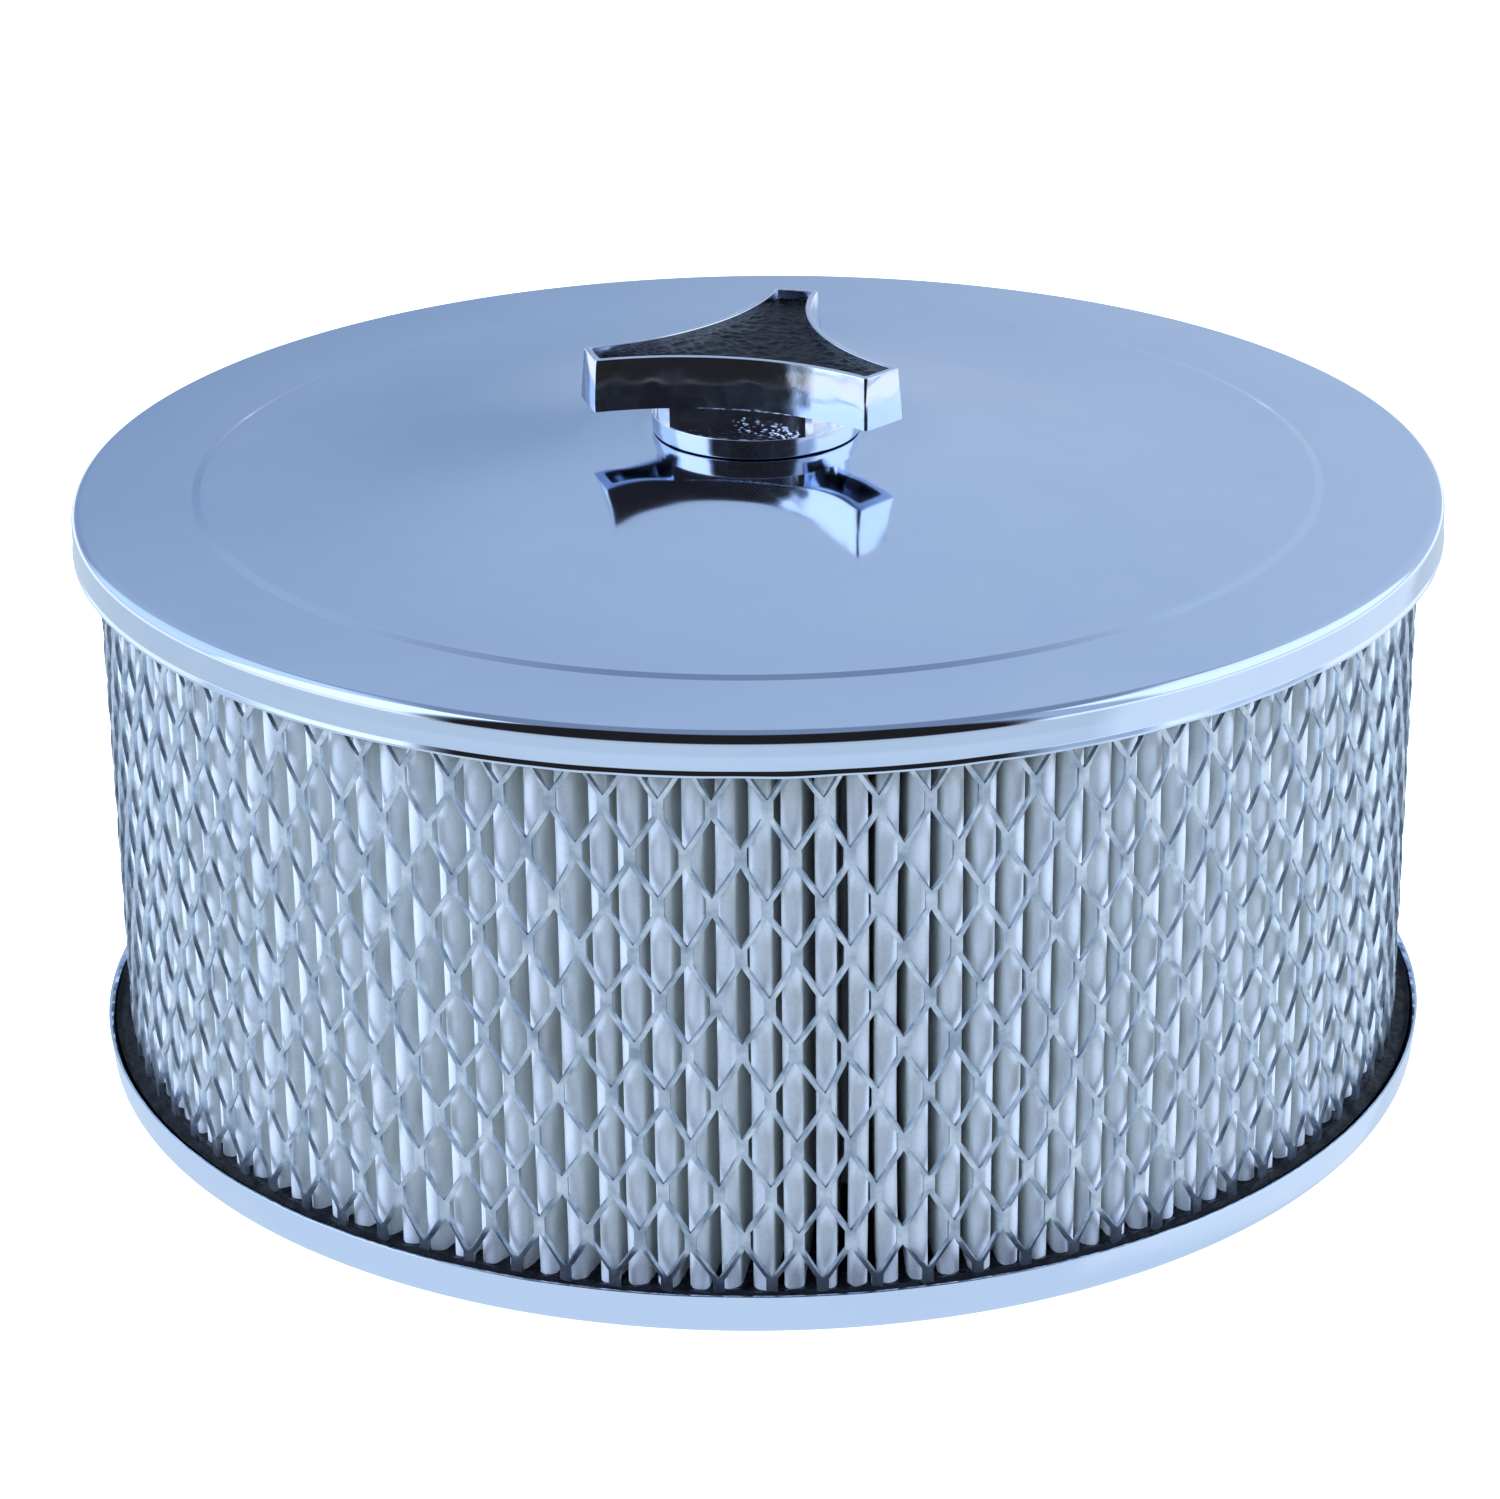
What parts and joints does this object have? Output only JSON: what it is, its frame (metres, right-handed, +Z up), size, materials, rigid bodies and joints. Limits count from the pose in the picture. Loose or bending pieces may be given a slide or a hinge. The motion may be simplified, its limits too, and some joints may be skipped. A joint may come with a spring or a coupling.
{
  "type": "air filter housing",
  "caption": "Round open-element engine air filter housing: chrome lid and pan either side of a pleated paper element behind expanded mesh, held by a three-winged nut on a centre stud.",
  "frame": {"origin": "centre of the neck's lower end, on the axis of the centre stud", "axes": "+Z up along the stud towards the knob, -Y towards the front, +X towards the clamp screw"},
  "size_m": [0.162, 0.162, 0.107],
  "materials": {
    "chrome": "polished",
    "galvanised_mesh": "galvanised, satin",
    "zinc_plate": "zinc plated, satin",
    "filter_paper": "matte, resin treated",
    "black_rubber": "cast plastisol, slightly glossy",
    "pebbled_black": "coarse pebble grain, glossy",
    "gasket_fibre": "matte"
  },
  "bodies": {
    "base": {"base_pan": "chrome", "neck_tube": "chrome", "bridge": "zinc_plate", "stud": "zinc_plate", "stud_nut_lower": "zinc_plate", "stud_nut_upper": "zinc_plate", "stud_lock_washer": "zinc_plate", "neck_rivet_front": "zinc_plate", "neck_rivet_back": "zinc_plate", "bridge_rivet_left": "zinc_plate", "bridge_rivet_right": "zinc_plate", "clamp_band": "zinc_plate", "clamp_housing": "zinc_plate"},
    "clamp_worm": {"clamp_screw": "zinc_plate"},
    "element": {"lower_end_seal": "black_rubber", "upper_end_seal": "black_rubber", "paper_pleats": "filter_paper", "outer_mesh": "galvanised_mesh", "inner_mesh": "galvanised_mesh"},
    "cover": {"lid": "chrome"},
    "knob_washer": {"knob_gasket": "gasket_fibre"},
    "knob": {"knob_body": "chrome", "knob_inlay": "pebbled_black"}
  },
  "joints": [
    {"name": "clamp_turn", "type": "hinge", "parent": "base", "child": "clamp_worm", "pos_m": [0.0333, 0, 0.0076], "axis": [0, 1, 0], "range_deg": [-1080, 1080]},
    {"name": "element_lift", "type": "slide", "parent": "base", "child": "element", "axis": [0, 0, 1], "range_m": [0, 0.09]},
    {"name": "lid_lift", "type": "slide", "parent": "element", "child": "cover", "axis": [0, 0, 1], "range_m": [0, 0.06]},
    {"name": "knob_rise", "type": "slide", "parent": "cover", "child": "knob_washer", "axis": [0, 0, 1], "range_m": [0, 0.0077]},
    {"name": "knob_turn", "type": "hinge", "parent": "knob_washer", "child": "knob", "pos_m": [0, 0, 0.1], "axis": [0, 0, 1], "range_deg": [0, 2160]}
  ],
  "couplings": [
    {"joint": "knob_rise", "follows": "knob_turn", "m_per_rad": 0.00020213}
  ]
}
